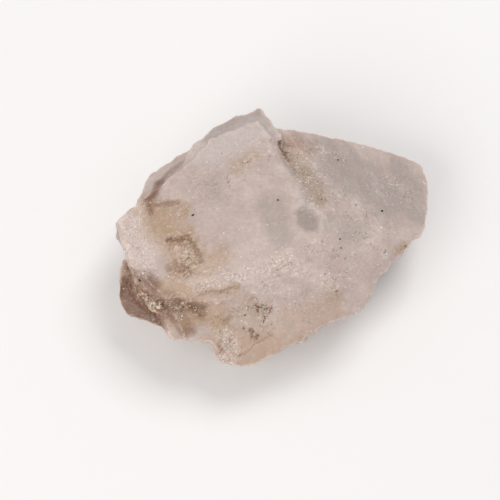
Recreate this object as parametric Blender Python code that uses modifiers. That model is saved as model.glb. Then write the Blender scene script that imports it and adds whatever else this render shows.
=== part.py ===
"""A hand-sized specimen of halite, the natural mineral of rock salt, as one solid.

Halite splits along three planes at right angles, so the piece is made the way the mineral
breaks. Rough cubes are cleaved into blocks, the grown-together blocks are joined, and
cube-shaped chips and pits are taken out of them. The joined shape is then remeshed on a fine
grid, weathered with noise and thinned out to a moderate number of flat facets.

Lengths in the tables are millimetres on the specimen. Headings are degrees anticlockwise
from +X, seen from above. The specimen lies on its broken underside at z = 0.
"""

import math
import random

import bmesh
import bpy
from mathutils import Matrix, Vector, noise
from mathutils.geometry import intersect_point_line

MM = 0.001
ROUGH_CUBE = 140.0 * MM
GRAIN_HEADING = 24.0
FINE_GRID = 0.36 * MM
FACES_KEPT = 9000
SEED = 11

# Planes that bound the blocks from above: a point on the plane, the heading it slopes down
# to, and how steeply
TABLE = (-3.0, 17.0, 21.9, 226.0, 4.7)
RIGHT_SLOPE = (4.7, 2.0, 21.4, 28.0, 21.0)
FRONT_RIGHT_SLOPE = (7.4, -10.6, 20.8, -45.0, 24.0)
FRONT_SLOPE = (-0.4, -15.7, 19.1, -84.0, 32.3)
LEFT_BEVEL = (-30.6, -5.0, 12.6, 196.0, 60.0)
CLEAR_FACE = (-24.1, -15.9, 18.0, 226.0, 66.0)

# Each block: the height of its underside, the corners of its rim walked anticlockwise, each
# with the lean of the side that starts there, and the planes of its top. A side that leans
# out widens downwards and one that leans in is undercut.
BLOCKS = {
    "raised_block": {
        "underside": 12.4,
        "rim": (
            (-30.0, -3.3, 19.2, 4.0),
            (-27.3, -11.7, 18.8, 20.0),
            (-20.6, -19.5, 18.7, 32.0),
            (-10.7, -18.8, 19.4, 42.0),
            (-0.4, -15.7, 20.1, 44.0),
            (16.0, -9.6, 20.4, 0.0),
            (16.0, 4.0, 19.6, 0.0),
            (-15.2, 9.0, 20.7, 16.0),
        ),
        "tops": (TABLE, RIGHT_SLOPE, FRONT_RIGHT_SLOPE),
    },
    "corner_block": {
        "underside": 15.0,
        "rim": (
            (-2.9, 16.6, 21.9, 18.0),
            (-12.4, 12.9, 21.1, 10.0),
            (-15.6, 8.3, 20.7, 0.0),
            (-15.6, 0.0, 20.5, 0.0),
            (5.4, 0.0, 21.4, 20.0),
            (3.0, 8.4, 21.7, 24.0),
        ),
        "tops": (TABLE,),
    },
    "corner_terrace": {
        "underside": 3.0,
        "rim": (
            (-2.2, 20.0, 20.6, -3.0),
            (-11.8, 15.8, 20.4, 4.0),
            (-15.5, 12.3, 20.0, 8.0),
            (-17.4, 8.0, 19.6, 0.0),
            (-10.0, -2.0, 19.0, 0.0),
            (3.4, 6.0, 20.0, 0.0),
            (3.1, 11.6, 20.2, -4.0),
        ),
        "tops": ((-2.2, 20.0, 20.8, 110.0, 12.0), (-3.0, 17.0, 20.9, 226.0, 4.7)),
    },
    "main_mass": {
        "underside": -1.0,
        "rim": (
            (30.8, 12.0, 11.0, -10.0),
            (29.3, 13.1, 11.2, -8.0),
            (12.4, 15.9, 16.4, -5.0),
            (5.6, 16.0, 18.6, -4.0),
            (-2.4, 16.2, 19.0, 2.0),
            (-27.4, -1.6, 12.0, -6.0),
            (-30.5, -3.8, 12.4, -8.0),
            (-29.5, -10.8, 10.0, -12.0),
            (-20.9, -23.4, 14.8, -22.0),
            (-19.3, -25.4, 13.6, -22.0),
            (-11.7, -26.0, 12.8, -22.0),
            (9.5, -23.0, 13.4, -22.0),
            (20.8, -14.0, 15.5, -24.0),
            (30.7, -2.6, 13.4, -18.0),
            (31.6, 5.0, 12.0, -10.0),
        ),
        "tops": (
            (-3.0, 17.0, 19.4, 226.0, 5.0),
            LEFT_BEVEL,
            RIGHT_SLOPE,
            FRONT_RIGHT_SLOPE,
            FRONT_SLOPE,
            CLEAR_FACE,
        ),
    },
    "front_knob": {
        "underside": 2.0,
        "rim": (
            (9.4, -23.2, 13.4, -24.0),
            (17.3, -20.6, 14.4, -24.0),
            (18.8, -19.2, 14.5, -24.0),
            (20.8, -14.0, 15.5, 0.0),
            (10.0, -10.0, 15.0, 0.0),
        ),
        "tops": (RIGHT_SLOPE, FRONT_RIGHT_SLOPE, FRONT_SLOPE),
    },
    "front_lobe": {
        "underside": -1.0,
        "rim": (
            (9.5, -23.0, 13.3, 0.0),
            (8.0, -16.0, 13.0, 0.0),
            (-9.0, -16.0, 13.0, 0.0),
            (-11.8, -25.8, 12.7, -6.0),
            (-11.2, -28.6, 11.3, -14.0),
            (-9.8, -29.8, 10.6, -22.0),
            (-7.3, -30.2, 10.2, -24.0),
            (-4.6, -30.4, 9.9, -24.0),
            (-1.5, -29.2, 10.4, -24.0),
            (4.1, -26.2, 11.8, -24.0),
        ),
        "tops": (FRONT_RIGHT_SLOPE, FRONT_SLOPE),
    },
    "lobe_shoulder": {
        "underside": 1.0,
        "rim": (
            (8.8, -23.9, 12.8, 0.0),
            (8.0, -16.0, 13.0, 0.0),
            (2.0, -20.0, 13.0, 0.0),
            (4.1, -26.1, 11.8, -24.0),
            (6.6, -25.9, 11.9, -24.0),
        ),
        "tops": (FRONT_RIGHT_SLOPE, FRONT_SLOPE),
    },
    "left_ledge": {
        "underside": -1.0,
        "rim": (
            (-29.7, -9.8, 13.4, 0.0),
            (-29.8, -15.2, 11.4, -6.0),
            (-29.4, -18.2, 10.3, -12.0),
            (-28.6, -19.5, 10.0, -16.0),
            (-21.2, -22.6, 10.8, -16.0),
            (-12.0, -24.0, 12.0, 0.0),
            (-12.0, -5.0, 12.0, 0.0),
        ),
        "tops": ((-25.8, -17.2, 11.8, 236.0, 24.0),),
    },
    "left_knob": {
        "underside": 1.0,
        "rim": (
            (-21.4, -18.6, 14.0, 4.0),
            (-20.9, -23.5, 13.6, -8.0),
            (-19.3, -25.6, 12.6, -20.0),
            (-12.0, -26.1, 12.2, 0.0),
            (-12.0, -18.0, 15.0, 0.0),
        ),
        "tops": ((-0.4, -15.7, 17.5, -84.0, 32.3), (-18.0, -23.0, 14.6, 200.0, 14.0)),
    },
    "back_ledge": {
        "underside": 6.0,
        "rim": (
            (-16.3, 12.6, 16.9, 8.0),
            (-24.3, 8.1, 14.8, 6.0),
            (-26.2, 1.8, 17.0, 4.0),
            (-28.0, -4.4, 17.0, 0.0),
            (-18.0, -8.0, 17.0, 0.0),
            (-10.0, 8.0, 17.0, 0.0),
        ),
        "tops": ((-20.0, 6.0, 18.4, 135.0, 38.0), (-3.0, 17.0, 20.0, 226.0, 4.7)),
    },
    "back_foot": {
        "underside": -1.0,
        "rim": (
            (21.0, 16.6, 6.0, 4.0),
            (-3.4, 19.0, 7.0, 6.0),
            (-12.0, 14.4, 7.0, 8.0),
            (-12.0, 2.0, 7.0, 0.0),
            (23.6, 6.0, 6.0, 4.0),
        ),
        "tops": ((6.0, 18.0, 8.2, 98.0, 12.0),),
    },
}

# Cube-shaped hollows: centre, size along, across and down, heading, dip towards that heading
HOLLOWS = (
    (-18.6, -6.6, 20.3, 10.0, 13.0, 2.6, 14.0, -3.0),
    (-17.0, -9.9, 20.0, 6.0, 6.4, 3.8, 21.0, 3.0),
    (2.6, 10.8, 20.6, 2.2, 4.8, 2.8, 30.0, 0.0),
    (14.3, -23.6, 13.0, 3.6, 2.6, 9.0, 30.0, 0.0),
    (25.4, 15.4, 1.6, 13.0, 6.0, 8.0, -12.0, 4.0),
    (8.0, 18.4, 15.2, 9.0, 5.0, 4.0, -10.0, 0.0),
    (31.6, 2.0, 2.2, 4.6, 9.0, 7.0, 10.0, 0.0),
    (17.4, -17.4, 1.6, 10.0, 6.0, 6.4, 28.0, 5.0),
    (-28.6, -5.4, 2.8, 5.0, 7.6, 7.0, 14.0, -4.0),
    (-13.6, -23.0, 1.4, 8.4, 5.0, 5.0, 6.0, 0.0),
    (-21.8, 8.0, 8.6, 6.6, 6.0, 6.0, 36.0, 0.0),
    (-7.6, 18.6, 4.6, 6.0, 5.4, 4.6, 22.0, -3.0),
)
# The stub of a smaller cube left standing in the deeper pit, given like the hollows
PIT_STUB = (-17.2, -10.0, 17.8, 3.6, 4.2, 2.6, 21.0, 5.0)
# The rounded corner that bulges over the left ledge: its centre and its three radii
ROUNDED_CORNER = ((-21.6, -18.7, 15.6), (3.0, 2.2, 1.9))
# Creases and pits that wear has rounded: the strength of the wear, how far it reaches on
# either side, and the line that it follows
WORN_LINES = (
    (1.4, 8.0, ((2.5, 5.4, 21.5), (9.9, -6.8, 21.2), (6.0, -12.4, 20.7))),
    (1.4, 8.0, ((9.9, -6.8, 21.2), (22.0, -7.4, 17.2))),
    (1.4, 6.0, ((4.0, -13.0, 19.6), (10.0, -13.4, 18.8), (15.5, -17.6, 16.0))),
    (0.06, 11.0, ((-18.0, -4.0, 19.6), (-17.0, -10.0, 19.0))),
)
WEAR_ROUNDS = 200
WEAR_STRENGTH = 0.9
# Broken rims: the chips' size range, how many, and the line they follow
CHIPPED_RIMS = (
    (0.8, 2.0, 10, ((31.9, 1.0, 13.0), (31.0, -4.0, 14.0), (21.8, -14.6, 15.4))),
    (0.8, 2.0, 12, ((19.8, -18.8, 14.6), (9.8, -24.2, 13.6), (3.6, -26.6, 8.5))),
    (0.7, 1.6, 9, ((-11.9, -26.9, 11.0), (-20.2, -26.0, 11.5), (-29.6, -20.4, 9.6))),
    (0.7, 1.4, 6, ((-31.0, -12.0, 8.5), (-31.8, -5.0, 13.0))),
    (0.6, 1.4, 9, ((-27.6, 1.6, 17.0), (-25.2, 9.0, 14.6), (-16.8, 13.6, 16.8))),
    (0.5, 1.0, 8, ((0.2, 17.4, 20.2), (12.4, 17.0, 16.8), (26.0, 14.6, 12.6))),
)
# Crumbs that still hold on where the crystal broke, given like the rims
CRUMBLED_LINES = (
    (0.7, 1.7, 14, ((-27.4, -14.6, 12.6), (-25.2, -17.6, 11.9), (-22.6, -20.0, 11.9))),
    (0.5, 1.1, 12, ((-17.0, -20.4, 17.4), (-6.0, -18.2, 18.4), (3.0, -16.0, 19.2))),
    (0.7, 1.4, 6, ((-10.2, -27.4, 10.4), (-7.4, -26.0, 11.6))),
)


def facing(heading, tilt):
    """The unit vector that points to a heading and tilts up from the horizon, in degrees."""
    turn, lift = math.radians(heading), math.radians(tilt)
    return Vector((math.cos(lift) * math.cos(turn), math.cos(lift) * math.sin(turn), math.sin(lift)))


def collection_named(name):
    """A new collection in the scene."""
    made = bpy.data.collections.new(name)
    bpy.context.scene.collection.children.link(made)
    return made


def object_from(body, name, collection):
    """Turns a bmesh into an object of that name."""
    mesh = bpy.data.meshes.new(name)
    body.to_mesh(mesh)
    body.free()
    made = bpy.data.objects.new(name, mesh)
    collection.objects.link(made)
    return made


def cleave(body, point, normal):
    """Splits off all that lies beyond a plane and closes the flat face that it leaves."""
    parts = body.verts[:] + body.edges[:] + body.faces[:]
    split = bmesh.ops.bisect_plane(
        body, geom=parts, dist=1e-8, plane_co=point, plane_no=normal, clear_outer=True
    )
    rim = [part for part in split["geom_cut"] if isinstance(part, bmesh.types.BMEdge)]
    if rim:
        bmesh.ops.edgeloop_fill(body, edges=rim)


def side_through(corner, next_corner, lean):
    """The outward direction of a side that holds two rim corners and leans that far out."""
    along = next_corner - corner
    across = Vector((along.y, -along.x, 0.0)).normalized()
    upwards = across.cross(along).normalized()
    return math.cos(math.radians(lean)) * across + math.sin(math.radians(lean)) * upwards


def cleaved_block(name, underside, rim, tops, collection):
    """A rough cube cleaved down to the underside, sides and tops of one block."""
    body = bmesh.new()
    bmesh.ops.create_cube(body, size=ROUGH_CUBE)
    cleave(body, Vector((0.0, 0.0, underside)) * MM, Vector((0.0, 0.0, -1.0)))
    for (*corner, lean), (*next_corner, _) in zip(rim, rim[1:] + rim[:1]):
        outward = side_through(Vector(corner), Vector(next_corner), lean)
        cleave(body, Vector(corner) * MM, outward)
    for x, y, z, heading, dip in tops:
        cleave(body, Vector((x, y, z)) * MM, facing(heading, 90.0 - dip))
    bmesh.ops.recalc_face_normals(body, faces=body.faces[:])
    return object_from(body, name, collection)


def box(name, centre, size, turn, collection):
    """A box that adds to the crystal or cuts into it, and isn't part of the result itself."""
    body = bmesh.new()
    bmesh.ops.create_cube(body, size=1.0)
    scaled = Matrix.Diagonal((*size, 1.0))
    placed = Matrix.Translation(centre) @ turn.to_4x4() @ scaled
    bmesh.ops.transform(body, matrix=placed, verts=body.verts)
    made = object_from(body, name, collection)
    made.hide_render = True
    made.display_type = "WIRE"
    return made


def rounded_lump(name, centre, radii, collection):
    """A stretched sphere, given by its centre and its three radii."""
    body = bmesh.new()
    size = Matrix.Diagonal((*(Vector(radii) * MM), 1.0))
    place = Matrix.Translation(Vector(centre) * MM) @ Matrix.Rotation(math.radians(GRAIN_HEADING), 4, "Z")
    bmesh.ops.create_uvsphere(body, u_segments=32, v_segments=16, radius=1.0, matrix=place @ size)
    return object_from(body, name, collection)


def lattice_turn(heading, dip):
    """The rotation of a box whose long axis points to a heading and dips below the horizon."""
    return Matrix.Rotation(math.radians(heading), 3, "Z") @ Matrix.Rotation(math.radians(dip), 3, "Y")


def placed_box(name, plan, collection):
    """A box given by its centre, its three sizes, its heading and its dip."""
    x, y, z, along, across, down, heading, dip = plan
    size = Vector((along, across, down)) * MM
    return box(name, Vector((x, y, z)) * MM, size, lattice_turn(heading, dip), collection)


def point_along(line, share):
    """The point at a share of the way along a line of points, each leg counted alike."""
    place = share * (len(line) - 1)
    leg = min(int(place), len(line) - 2)
    return Vector(line[leg]).lerp(Vector(line[leg + 1]), place - leg)


def cubes_along(name, line_plan, chance, collection):
    """Small cubes in the direction of the grain, strewn along a line."""
    small, large, count, line = line_plan
    cubes = []
    for number in range(count):
        share = (number + chance.uniform(0.1, 0.9)) / count
        size = Vector([chance.uniform(small, large) for _ in range(3)]) * MM
        wander = Vector([chance.uniform(-0.5, 0.5) for _ in range(3)])
        centre = (point_along(line, share) + wander) * MM
        turn = lattice_turn(GRAIN_HEADING + chance.uniform(-9.0, 9.0), chance.uniform(-14.0, 14.0))
        cubes.append(box(f"{name}_{number}", centre, size, turn, collection))
    return cubes


def add_boolean(target, operation, other):
    """Joins an object to the target or takes it out of it."""
    modifier = target.modifiers.new(operation.lower(), "BOOLEAN")
    modifier.operation = operation
    modifier.solver = "EXACT"
    modifier.object = other


def applied(target):
    """A bmesh of the object as its modifiers leave it."""
    graph = bpy.context.evaluated_depsgraph_get()
    body = bmesh.new()
    body.from_object(target, graph)
    return body


def distance_to_line(place, line):
    """The shortest distance from a place to a line of points."""
    nearest = []
    for start, end in zip(line, line[1:]):
        foot, share = intersect_point_line(place, Vector(start), Vector(end))
        foot = Vector(start).lerp(Vector(end), min(max(share, 0.0), 1.0))
        nearest.append((place - foot).length)
    return min(nearest)


def wear_down(crystal):
    """Rounds the crystal along the worn lines, most of all on the lines themselves."""
    worn = crystal.vertex_groups.new(name="worn_lines")
    for vert in crystal.data.vertices:
        place = vert.co / MM
        shares = [
            strength * (1.0 - distance_to_line(place, line) / reach) for strength, reach, line in WORN_LINES
        ]
        share = min(max(shares), 1.0)
        if share > 0.0:
            worn.add([vert.index], share, "REPLACE")
    smooth = crystal.modifiers.new("worn_lines", "SMOOTH")
    smooth.factor = WEAR_STRENGTH
    smooth.iterations = WEAR_ROUNDS
    smooth.vertex_group = worn.name


def weathered(place, normal):
    """How far rain and handling have moved a point of the surface along its normal, in mm."""
    broad = noise.noise(place * 0.11 + Vector((3.0, 1.0, 7.0)))
    lumps = noise.noise(place * 0.34 + Vector((9.0, 4.0, 2.0)))
    ledges = noise.noise(place * 0.75)
    broken = 1.0 - max(0.0, normal.z) ** 2
    return 0.25 * broad + (0.10 + 0.35 * broken) * lumps + (0.04 + 0.22 * broken) * ledges


def weather(body):
    """Moves every point of the fine mesh: a little on the table, more on the broken sides."""
    body.normal_update()
    moves = [vert.normal * weathered(vert.co / MM, vert.normal) * MM for vert in body.verts]
    for vert, move in zip(body.verts, moves):
        vert.co += move


def stand_at_origin(body):
    """Moves the body so that the middle of its box is over the origin."""
    low = Vector([min(vert.co[axis] for vert in body.verts) for axis in range(3)])
    high = Vector([max(vert.co[axis] for vert in body.verts) for axis in range(3)])
    move = -(low + high) / 2.0
    move.z = 0.0
    bmesh.ops.translate(body, vec=move, verts=body.verts)
    return move


def crystal_material():
    """Milky, faintly pink salt."""
    made = bpy.data.materials.new("milky_salt")
    made.use_nodes = True
    shader = made.node_tree.nodes["Principled BSDF"]
    shader.inputs["Base Color"].default_value = (0.56, 0.45, 0.40, 1.0)
    shader.inputs["Roughness"].default_value = 0.5
    shader.inputs["Metallic"].default_value = 0.0
    return made


def main():
    for obj in list(bpy.data.objects):
        bpy.data.objects.remove(obj)
    specimen = collection_named("halite_crystal")
    rough = collection_named("rough_shapes")
    chance = random.Random(SEED)

    blocks = [cleaved_block(name, collection=rough, **plan) for name, plan in BLOCKS.items()]
    whole = blocks[0]
    for block in blocks[1:]:
        add_boolean(whole, "UNION", block)
    for number, plan in enumerate(HOLLOWS):
        add_boolean(whole, "DIFFERENCE", placed_box(f"hollow_{number}", plan, rough))
    add_boolean(whole, "UNION", placed_box("pit_stub", PIT_STUB, rough))
    add_boolean(whole, "UNION", rounded_lump("rounded_corner", *ROUNDED_CORNER, rough))
    for number, plan in enumerate(CRUMBLED_LINES):
        for crumb in cubes_along(f"crumb_{number}", plan, chance, rough):
            add_boolean(whole, "UNION", crumb)
    for number, plan in enumerate(CHIPPED_RIMS):
        for chip in cubes_along(f"chip_{number}", plan, chance, rough):
            add_boolean(whole, "DIFFERENCE", chip)
    remesh = whole.modifiers.new("fine_grid", "REMESH")
    remesh.mode = "VOXEL"
    remesh.voxel_size = FINE_GRID
    worn = object_from(applied(whole), "worn_crystal", rough)
    wear_down(worn)
    fine = applied(worn)
    weather(fine)
    crystal = object_from(fine, "halite_crystal", specimen)
    for shape in list(rough.objects):
        bpy.data.objects.remove(shape)

    # The quads of the fine grid count twice, because the thinned mesh is all triangles
    thin_out = crystal.modifiers.new("fewer_faces", "DECIMATE")
    thin_out.ratio = FACES_KEPT / (2.0 * len(crystal.data.polygons))
    thin_out.use_collapse_triangulate = True
    body = applied(crystal)
    crystal.modifiers.clear()
    cleave(body, Vector((0.0, 0.0, 0.0)), Vector((0.0, 0.0, -1.0)))
    bmesh.ops.triangulate(body, faces=body.faces[:])
    stand_at_origin(body)
    body.to_mesh(crystal.data)
    body.free()
    crystal.data.materials.append(crystal_material())


if __name__ == "__main__":
    main()
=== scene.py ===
# %% [markdown]
# # A milky halite crystal
# Halite is natural rock salt. This specimen is one broken piece: a flat table with square
# pits, slopes round it and rough, crumbly flanks. The solid comes from a measured frame, and
# this file dresses it: first the camera and the light, then a fine surface, the loose-looking
# salt crumbs and dirt grains that sit on it, and the materials.

# %% Load the measured solid
import math
import random

import bmesh
import bpy
import numpy as np
from mathutils import Matrix, Vector, noise
from mathutils.bvhtree import BVHTree


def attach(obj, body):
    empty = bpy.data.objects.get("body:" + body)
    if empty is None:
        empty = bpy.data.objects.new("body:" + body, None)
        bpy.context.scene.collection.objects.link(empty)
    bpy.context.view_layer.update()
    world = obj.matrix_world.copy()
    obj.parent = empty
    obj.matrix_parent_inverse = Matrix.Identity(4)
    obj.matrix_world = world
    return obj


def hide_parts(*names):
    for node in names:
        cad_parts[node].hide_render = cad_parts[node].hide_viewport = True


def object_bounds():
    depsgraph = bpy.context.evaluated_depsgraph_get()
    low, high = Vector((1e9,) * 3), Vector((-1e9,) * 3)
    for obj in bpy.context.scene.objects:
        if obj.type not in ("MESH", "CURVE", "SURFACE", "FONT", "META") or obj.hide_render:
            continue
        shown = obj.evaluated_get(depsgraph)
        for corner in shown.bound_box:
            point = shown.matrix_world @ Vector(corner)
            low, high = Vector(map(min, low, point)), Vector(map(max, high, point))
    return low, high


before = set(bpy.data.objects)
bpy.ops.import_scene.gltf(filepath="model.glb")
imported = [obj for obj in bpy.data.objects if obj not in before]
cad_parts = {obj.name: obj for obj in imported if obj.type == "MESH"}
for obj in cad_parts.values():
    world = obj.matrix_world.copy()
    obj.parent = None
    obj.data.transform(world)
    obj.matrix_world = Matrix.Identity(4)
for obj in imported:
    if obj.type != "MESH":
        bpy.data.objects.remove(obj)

MM = 0.001
GRAIN_HEADING = 24.0
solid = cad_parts["halite_crystal"]
solid_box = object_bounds()
print("solid box, mm:", [[round(c / MM, 2) for c in corner] for corner in solid_box])

# %% [markdown]
# The specimen was photographed from rather high with a long lens, so a camera at 70 degrees
# of elevation and 0.3 m away gives the same outline. A target in the middle of the crystal
# makes the numbers easy to change.

# %% Camera
VIEW_ELEVATION = 70.0
VIEW_DISTANCE = 0.30
VIEW_WIDTH = 0.0994
TARGET = Vector((-4.62, -1.02, 10.0)) * MM
PICTURE = 500


def make_camera():
    data = bpy.data.cameras.new("camera")
    data.sensor_width = 36.0
    data.lens = data.sensor_width * VIEW_DISTANCE / VIEW_WIDTH
    made = bpy.data.objects.new("camera", data)
    bpy.context.scene.collection.objects.link(made)
    lift = math.radians(VIEW_ELEVATION)
    back = Vector((0.0, -math.cos(lift), math.sin(lift)))
    made.location = TARGET + back * VIEW_DISTANCE
    made.rotation_euler = (math.pi / 2 - lift, 0.0, 0.0)
    bpy.context.scene.camera = made
    bpy.context.view_layer.update()
    return made


camera = make_camera()
print("lens, mm:", round(camera.data.lens, 1))

# %% [markdown]
# Milky salt looks soft because light enters it, scatters and leaves somewhere else. Hard
# light would hide that. One large panel behind the crystal and to its right models the pits,
# a weaker one in front fills the shadows, and a bright room does the rest.

# %% Light and floor
def make_panel(name, place, size, power, tint):
    data = bpy.data.lights.new(name, "AREA")
    data.energy = power
    data.size = size
    data.color = tint
    made = bpy.data.objects.new(name, data)
    bpy.context.scene.collection.objects.link(made)
    made.location = place
    made.rotation_euler = (TARGET - Vector(place)).to_track_quat("-Z", "Y").to_euler()
    return made


make_panel("key_panel", (0.20, 0.30, 0.55), 0.30, 1.8, (1.0, 0.985, 0.97))
make_panel("fill_panel", (-0.36, -0.38, 0.42), 0.50, 2.3, (1.0, 0.97, 0.94))

world = bpy.data.worlds.new("soft_room")
bpy.context.scene.world = world
world.use_nodes = True
world.node_tree.nodes["Background"].inputs["Color"].default_value = (0.97, 0.975, 1.0, 1.0)
world.node_tree.nodes["Background"].inputs["Strength"].default_value = 0.54
bpy.context.scene.view_settings.view_transform = "Standard"

bpy.ops.mesh.primitive_plane_add(size=3.0, location=(0.0, 0.0, -0.00002))
floor = bpy.context.object
floor.name = "floor"
floor_paint = bpy.data.materials.new("pale_floor")
floor_paint.use_nodes = True
floor_shader = floor_paint.node_tree.nodes["Principled BSDF"]
floor_shader.inputs["Base Color"].default_value = (0.84, 0.83, 0.82, 1.0)
floor_shader.inputs["Roughness"].default_value = 0.85
floor.data.materials.append(floor_paint)

# %% [markdown]
# The solid has large flat facets, and the real surface is uneven at a finer scale. The relief
# that follows moves each point by a fraction of a millimetre, so it needs an even, fine grid.
# Subdividing would keep the long thin triangles of the solid, so a voxel remesh makes the grid
# instead, and a few rounds of smoothing take the facets away.

# %% Fine grid
GRID = 0.31 * MM
FACET_SMOOTHING = 4


def finished_mesh(obj):
    graph = bpy.context.evaluated_depsgraph_get()
    return bpy.data.meshes.new_from_object(obj.evaluated_get(graph))


def fine_copy(source, name, grid):
    work = bpy.data.objects.new(name, source.data.copy())
    bpy.context.scene.collection.objects.link(work)
    remesh = work.modifiers.new("grid", "REMESH")
    remesh.mode = "VOXEL"
    remesh.voxel_size = grid
    soften = work.modifiers.new("soften", "SMOOTH")
    soften.factor = 0.5
    soften.iterations = FACET_SMOOTHING
    mesh = finished_mesh(work)
    work.modifiers.clear()
    work.data = mesh
    mesh.name = name
    mesh.materials.clear()
    return work


crystal = fine_copy(solid, "crystal_surface", GRID)
print("fine grid:", len(crystal.data.polygons), "faces")

# %% [markdown]
# Many details sit at places that are easiest to name by where they appear in the picture.
# A ray from the camera through such a point finds the place on the real surface, so the
# detail belongs to the crystal and stays right from every side.

# %% Places on the surface
def surface_of(obj):
    return BVHTree.FromObject(obj, bpy.context.evaluated_depsgraph_get())


surface = surface_of(crystal)


def seen_at(column, row):
    """The point of the crystal, in mm, that the camera sees at a column and row of the picture."""
    step = VIEW_WIDTH / VIEW_DISTANCE / PICTURE
    ray = Vector(((column - PICTURE / 2) * step, (PICTURE / 2 - row) * step, -1.0))
    ray = camera.matrix_world.to_3x3() @ ray
    hit, _, _, _ = surface.ray_cast(camera.location, ray.normalized())
    if hit is None:
        hit, _, _, _ = surface.find_nearest(camera.location + ray * VIEW_DISTANCE)
    return hit / MM


def vertex_arrays(mesh):
    """Places in mm and normals of all vertices, as arrays."""
    count = len(mesh.vertices)
    found_places, found_normals = np.empty(count * 3), np.empty(count * 3)
    mesh.vertices.foreach_get("co", found_places)
    mesh.vertices.foreach_get("normal", found_normals)
    return found_places.reshape(-1, 3) / MM, found_normals.reshape(-1, 3)


places, normals = vertex_arrays(crystal.data)
print("seen in the middle, mm:", [round(c, 1) for c in seen_at(250, 250)])

# %% [markdown]
# Broken salt is irregular, but along its own cube directions. Smooth noise gives the
# irregular part. Turning the points first, so that X and Y follow the cubes, gives the rest.

# %% Noise helpers
def noise_at(points, size, seed):
    """Smooth noise between -1 and 1 at each point; size is the width of its lumps in mm."""
    shift = Vector((seed * 7.3, seed * 3.1, seed * 5.7))
    return np.array([noise.noise(Vector(point) / size + shift) for point in points])


def smooth_step(low, high, values):
    share = np.clip((values - low) / (high - low), 0.0, 1.0)
    return share * share * (3.0 - 2.0 * share)


def along_grain(points, heading=GRAIN_HEADING):
    """The points turned so that X and Y follow the cube directions of the salt."""
    turn = math.radians(-heading)
    turned = points.copy()
    turned[:, 0] = points[:, 0] * math.cos(turn) - points[:, 1] * math.sin(turn)
    turned[:, 1] = points[:, 0] * math.sin(turn) + points[:, 1] * math.cos(turn)
    return turned


wobble = noise_at(places, 1.6, 1) + 0.5 * noise_at(places, 0.7, 2)
print("wobble spans", round(float(wobble.min()), 2), "to", round(float(wobble.max()), 2))

# %% [markdown]
# The crystal isn't the same all over: parts of it are crushed to a frost, parts crumble, and
# moist air has rounded others. Each zone is made of soft brush strokes: a radius in mm, a
# strength, and the points that the stroke goes through, as columns and rows of the picture.
# Strokes are easier to read and to change than weights painted by hand.

# %% Zones of texture
TEXTURE_ZONES = {
    "crumbly": (
        (2.2, 0.75, (138, 290), (144, 297), (152, 303), (162, 307)),
        (1.6, 0.3, (178, 304), (192, 306)),
        (1.6, 0.25, (200, 286), (222, 282), (246, 276), (268, 268), (286, 262)),
        (1.6, 0.2, (286, 268), (312, 276), (336, 284)),
        (2.6, 0.6, (226, 338), (230, 350), (224, 358)),
        (1.6, 0.6, (123, 256), (127, 268), (128, 280)),
        (2.2, 0.45, (172, 242), (186, 241), (192, 256), (188, 268), (178, 272)),
        (2.4, 0.1, (150, 214), (168, 210), (184, 214)),
    ),
    "frosted": (
        (4.4, 0.9, (130, 224), (134, 244), (142, 262)),
        (2.4, 0.8, (124, 214), (138, 204)),
        (3.0, 0.3, (158, 274), (172, 280)),
        (2.6, 0.65, (196, 285), (222, 279), (246, 272), (268, 265), (288, 256)),
        (2.6, 0.4, (206, 270), (236, 258), (262, 246)),
        (2.4, 0.5, (290, 268), (316, 276), (334, 282)),
        (2.6, 0.9, (226, 338), (231, 348), (226, 358)),
        (2.0, 0.4, (260, 292), (290, 290)),
        (1.2, 0.8, (384, 250), (385, 255)),
        (0.7, 0.5, (168, 319), (168, 322)),
    ),
    "softened": (
        (3.4, 1.0, (188, 204), (193, 222), (198, 244), (200, 262)),
        (2.6, 0.5, (150, 206), (170, 203), (186, 201)),
        (2.4, 0.6, (150, 216), (154, 240), (162, 268)),
        (3.0, 0.8, (172, 296), (196, 292), (222, 288), (246, 281), (268, 272), (290, 260)),
    ),
    "flecked": (
        (4.6, 1.0, (288, 152), (300, 164), (312, 180), (316, 200)),
        (3.2, 0.8, (300, 150), (334, 156)),
        (5.0, 0.6, (330, 200), (360, 216), (366, 236)),
        (4.0, 0.5, (384, 186), (400, 184), (412, 200)),
        (5.0, 0.5, (320, 250), (344, 262), (338, 284)),
        (4.0, 0.6, (212, 282), (250, 278), (284, 262)),
        (6.0, 0.5, (210, 312), (240, 324), (262, 320)),
        (5.0, 0.4, (180, 236), (190, 254), (186, 272)),
        (4.0, 0.3, (158, 206), (180, 206)),
        (4.0, 0.5, (240, 166), (256, 152), (270, 150)),
        (5.0, 0.35, (200, 186), (230, 180)),
        (6.0, 0.4, (280, 300), (310, 306)),
        (3.0, 0.4, (146, 296), (170, 308), (190, 302)),
    ),
}
print("texture zones:", *TEXTURE_ZONES)

# %% [markdown]
# Clay has washed into the pits and the recess, and the salt itself is milky in one place and
# clear in another. A painted picture could hold these colours, but strokes on the surface fit
# every side and can be changed one by one. They work as the strokes of the texture do.

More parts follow.
